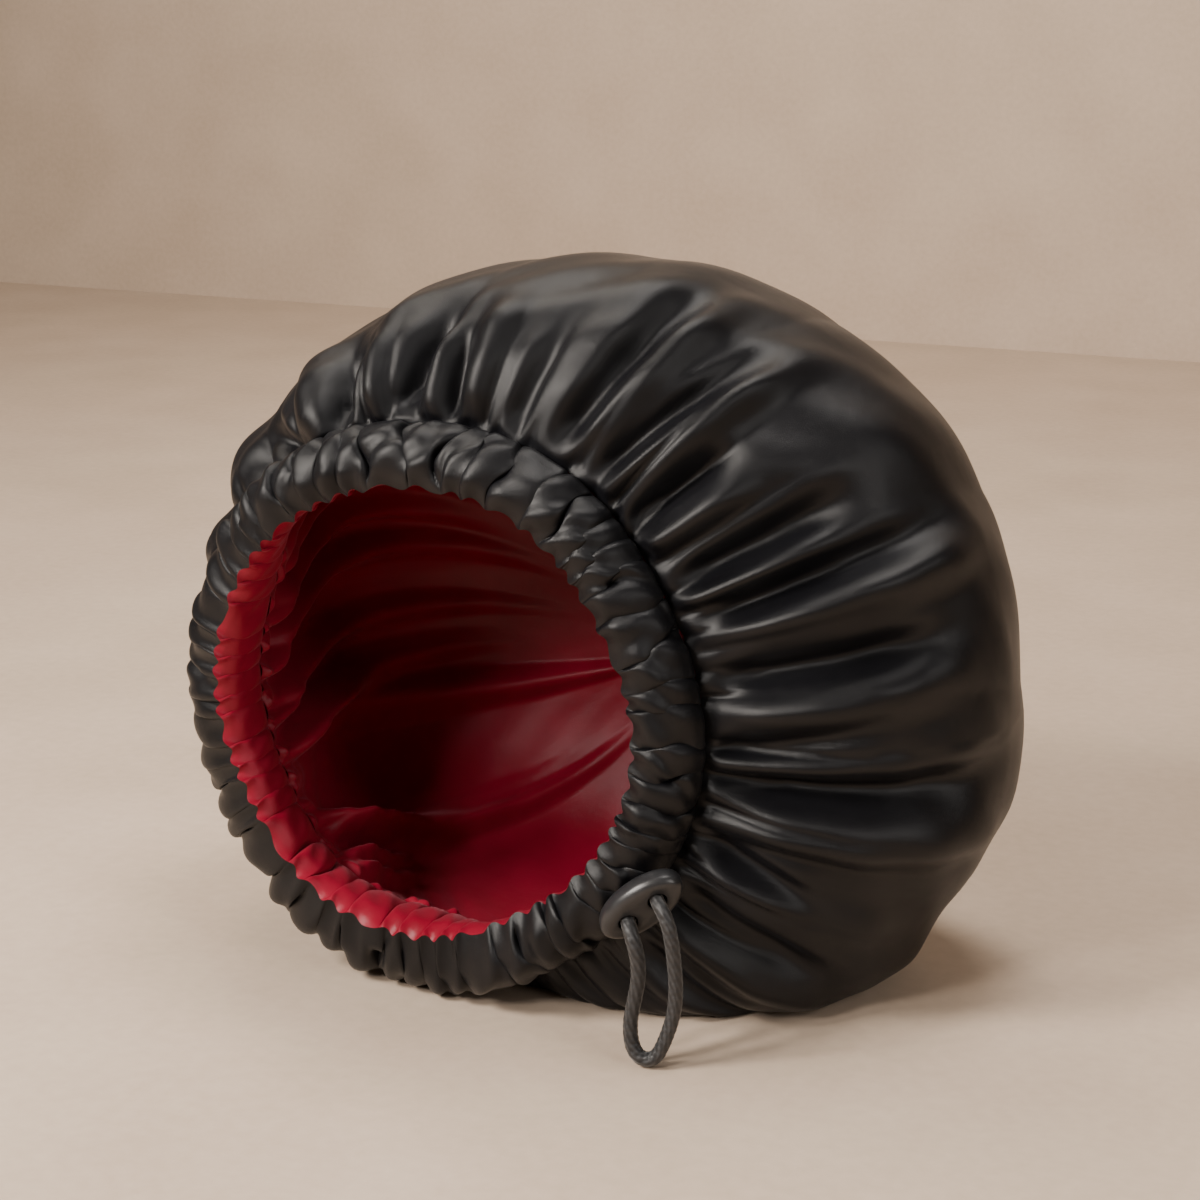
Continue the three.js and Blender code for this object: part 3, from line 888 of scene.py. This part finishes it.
@dataclass
class Drawcord:
    """The drawcord's free loop, its two-hole stopper and the tab behind it."""

    form: BonnetForm
    wardrobe: Wardrobe
    centre: tuple[float, float, float] = (95.8, -4.5, -56.6)
    outward: tuple[float, float, float] = (0.533, -0.766, -0.36)
    along: tuple[float, float, float] = (0.732, 0.204, 0.65)
    length: float = 36.0
    width: float = 20.0
    thickness: float = 9.0
    edge: float = 3.4
    hole_radius: float = 3.6
    hole_spacing: float = 14.0
    tab_size: tuple[float, float, float] = (9.0, 14.0, 2.0)
    tab_overhang: float = 4.0
    gap: float = 0.4
    cord_radius: float = 3.05
    cord_steps: int = 620
    cord_sides: int = 56
    route: tuple[tuple[float, float, float], ...] = field(
        default=(
            (88.4, -2.5, -59.6), (90.7, -5.9, -61.1), (93.1, -9.4, -62.8), (95.3, -12.0, -65.2),
            (97.2, -13.0, -69.6), (98.3, -12.6, -75.5), (98.4, -12.5, -82.5), (97.2, -12.9, -90.5),
            (96.0, -13.6, -99.0), (96.6, -14.0, -106.5), (99.0, -14.2, -111.2), (102.6, -13.7, -112.6),
            (106.2, -12.8, -110.6), (109.3, -11.8, -103.5), (111.8, -10.9, -94.0), (112.4, -10.5, -85.0),
            (111.8, -10.5, -75.8), (110.8, -10.8, -67.0), (109.2, -10.7, -60.2), (106.4, -9.5, -55.6),
            (103.3, -6.6, -53.6), (100.9, -3.1, -52.0), (98.6, 0.2, -50.5),
        )
    )

    def pose(self) -> Matrix:
        """The stopper's axes in metres: X along it, Y across it, Z out of its face."""
        z = Vector(self.outward).normalized()
        x = (Vector(self.along) - Vector(self.along).dot(z) * z).normalized()
        y = z.cross(x)
        place = (Vector(self.centre) + Vector(self.form.centre)) * MM
        turn = Matrix((x, y, z)).transposed().to_4x4()
        return Matrix.Translation(place) @ turn @ Matrix.Scale(MM, 4)

    def centreline(self) -> np.ndarray:
        """The cord's middle line in metres, a smooth curve through the route's points."""
        knots = (np.array(self.route) + np.array(self.form.centre)) * MM
        padded = np.concatenate([[2 * knots[0] - knots[1]], knots, [2 * knots[-1] - knots[-2]]])
        at = np.linspace(0, len(knots) - 1, self.cord_steps)
        row = np.minimum(at.astype(int), len(knots) - 2)
        u = (at - row)[:, None]
        a, b, c, d = (padded[row + k] for k in range(4))
        return through_rows(a, b, c, d, u)

    def make_cord(self) -> bpy.types.Object:
        """The braided loop: a mesh tube with its strands in relief."""
        line = self.centreline()
        full = self.cord_radius * MM
        pitch = 0.0052

        def radius(s: np.ndarray, a: np.ndarray) -> np.ndarray:
            """Two sets of strands that cross each other, and a raised edge down each side."""
            strands = np.cos(4 * a + 2 * np.pi * s / pitch) * np.cos(4 * a - 2 * np.pi * s / pitch)
            flat = 0.94 + 0.06 * np.cos(2 * a)
            return full * (flat - 0.03 + 0.035 * strands)

        cord = tube("drawcord", line, radius, self.cord_sides)
        self.wardrobe.dress(cord, Finish.BRAID)
        finish_piece(cord, "black_braid", "cord_loop")
        return cord

    def apply(self, obj: bpy.types.Object, kind: str, **settings: object) -> None:
        """Adds a modifier and applies it."""
        select_only(obj)
        modifier = obj.modifiers.new("shape", kind)
        for key, value in settings.items():
            setattr(modifier, key, value)
        bpy.ops.object.modifier_apply(modifier="shape")

    def make_stopper(self) -> bpy.types.Object:
        """The flat pebble with its two holes."""
        bpy.ops.object.select_all(action="DESELECT")
        bpy.ops.mesh.primitive_cylinder_add(vertices=72, radius=0.5, depth=self.thickness)
        stopper = bpy.context.active_object
        stopper.name = "cord_stopper_pebble"
        bpy.ops.object.mode_set(mode="EDIT")
        bpy.ops.mesh.select_all(action="SELECT")
        bpy.ops.transform.resize(value=(self.length, self.width, 1.0))
        bpy.ops.object.mode_set(mode="OBJECT")
        self.apply(
            stopper, "BEVEL", width=self.edge, segments=8, limit_method="ANGLE", angle_limit=math.radians(40)
        )
        for side in (-1, 1):
            bpy.ops.object.select_all(action="DESELECT")
            bpy.ops.mesh.primitive_cylinder_add(
                vertices=40, radius=self.hole_radius, depth=3 * self.thickness,
                location=(side * self.hole_spacing / 2, 0, 0),
            )
            drill = bpy.context.active_object
            self.apply(stopper, "BOOLEAN", operation="DIFFERENCE", solver="EXACT", object=drill)
            bpy.data.objects.remove(drill)
        self.apply(
            stopper, "BEVEL", width=0.35, segments=3, limit_method="ANGLE", angle_limit=math.radians(50)
        )
        select_only(stopper)
        bpy.ops.object.shade_smooth_by_angle(angle=math.radians(40))
        stopper.data.transform(self.pose())
        self.wardrobe.dress(stopper, Finish.CHARCOAL)
        finish_piece(stopper, "charcoal_plastic", "cord_stopper")
        return stopper

    def make_tab(self) -> bpy.types.Object:
        """The small plate behind the stopper that shows between the strands."""
        long, wide, thick = self.tab_size
        bpy.ops.object.select_all(action="DESELECT")
        bpy.ops.mesh.primitive_cube_add(
            size=1.0,
            location=(
                0,
                -self.width / 2 - self.tab_overhang + wide / 2,
                -self.thickness / 2 - self.gap - thick / 2,
            ),
            scale=(long, wide, thick),
        )
        tab = bpy.context.active_object
        tab.name = "stopper_back_tab"
        bpy.ops.object.transform_apply(location=True, rotation=True, scale=True)
        self.apply(tab, "BEVEL", width=0.8, segments=4, limit_method="ANGLE", angle_limit=math.radians(40))
        select_only(tab)
        bpy.ops.object.shade_smooth_by_angle(angle=math.radians(40))
        tab.data.transform(self.pose())
        self.wardrobe.dress(tab, Finish.GREY)
        finish_piece(tab, "grey_plastic", "stopper_tab")
        return tab

    def build(self) -> None:
        cord = self.make_cord()
        stopper = self.make_stopper()
        tab = self.make_tab()
        line = self.centreline()


# ---------------------------------------------------------------- the studio


@dataclass
class Studio:
    """A plain pale floor, soft warm light and the camera."""

    form: BonnetForm
    azimuth: float = 25.0
    elevation: float = 15.0
    distance: float = 0.897
    focal: float = 70.0
    target: tuple[float, float, float] = (49.4, 60.0, 36.5)

    def camera(self) -> None:
        """Places the camera and makes it the scene's."""
        a, e = math.radians(self.azimuth), math.radians(self.elevation)
        back = Vector((math.sin(a) * math.cos(e), -math.cos(a) * math.cos(e), math.sin(e)))
        target = (Vector(self.form.centre) + Vector(self.target)) * MM
        data = bpy.data.cameras.new("camera")
        data.lens = self.focal
        data.sensor_width = 36.0
        camera = bpy.data.objects.new("camera", data)
        camera.location = target + back * self.distance
        camera.rotation_euler = back.to_track_quat("Z", "Y").to_euler()
        bpy.context.scene.collection.objects.link(camera)
        bpy.context.scene.camera = camera

    def lamp(self, name: str, place: tuple, aim: tuple, size: tuple, power: float, colour: tuple) -> None:
        """One soft area light.

        Args:
            name: its name.
            place: its place in metres.
            aim: the point it faces.
            size: width and height in metres.
            power: watts.
            colour: its tint.
        """
        data = bpy.data.lights.new(name, "AREA")
        data.shape = "RECTANGLE"
        data.size, data.size_y = size
        data.energy = power
        data.color = colour
        lamp = bpy.data.objects.new(name, data)
        lamp.location = place
        lamp.rotation_euler = (Vector(place) - Vector(aim)).to_track_quat("Z", "Y").to_euler()
        bpy.context.scene.collection.objects.link(lamp)

    def surfaces(self) -> None:
        """The pale floor and backdrop, with a faint mottled grain."""
        s = Shader("pale_floor")
        where = s.coordinates("Object")
        mottle = s.noise(where, 9.0, 6.0) * 0.6 + s.noise(where, 160.0, 4.0) * 0.4
        s.set(
            Base_Color=s.ramp(mottle, [(0.3, rgb(0.47, 0.36, 0.27)), (0.7, rgb(0.57, 0.45, 0.35))]),
            Roughness=0.7,
            Normal=s.bump(mottle, 0.0006, 0.25),
        )
        upright = (math.pi / 2, 0, 0)
        for name, place, turn in (("floor", (0, 0, 0), (0, 0, 0)), ("backdrop", (0, 1.6, 0), upright)):
            bpy.ops.object.select_all(action="DESELECT")
            bpy.ops.mesh.primitive_plane_add(size=20.0, location=place, rotation=turn)
            surface = bpy.context.active_object
            surface.name = name
            surface.data.materials.append(s.material)

    def build(self) -> None:
        """Sets everything up."""
        self.camera()
        self.surfaces()
        self.lamp("key", (-0.75, -0.95, 1.0), (0, 0, 0.12), (0.40, 0.40), 34.0, (1.0, 0.93, 0.85))
        self.lamp("inside", (-0.35, -1.25, 0.75), (0.05, 0.05, 0.08), (0.25, 0.25), 12.0, (1.0, 0.94, 0.88))
        self.lamp("top", (0.15, 0.1, 1.3), (0.05, 0, 0.15), (0.4, 0.4), 9.0, (1.0, 0.95, 0.9))
        self.lamp("wall", (-0.6, 0.5, 1.6), (0.1, 1.6, 0.5), (0.8, 0.8), 22.0, (1.0, 0.92, 0.82))
        self.lamp("side", (1.2, -0.6, 0.7), (0.1, 0, 0.12), (0.35, 0.7), 6.0, (1.0, 0.95, 0.9))
        world = bpy.data.worlds.new("studio")
        bpy.context.scene.world = world
        world.use_nodes = True
        world.node_tree.nodes["Background"].inputs["Color"].default_value = rgb(0.90, 0.76, 0.62)
        world.node_tree.nodes["Background"].inputs["Strength"].default_value = 0.14


def main() -> None:
    """Loads the frame and builds the bonnet round it."""
    logging.basicConfig(level=logging.INFO)
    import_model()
    form = BonnetForm()
    wardrobe = Wardrobe()
    Studio(form).build()
    Drawcord(form, wardrobe).build()
    FaceBand(form, wardrobe).build()
    Crown(form, wardrobe).build()


if __name__ == "__main__":
    main()
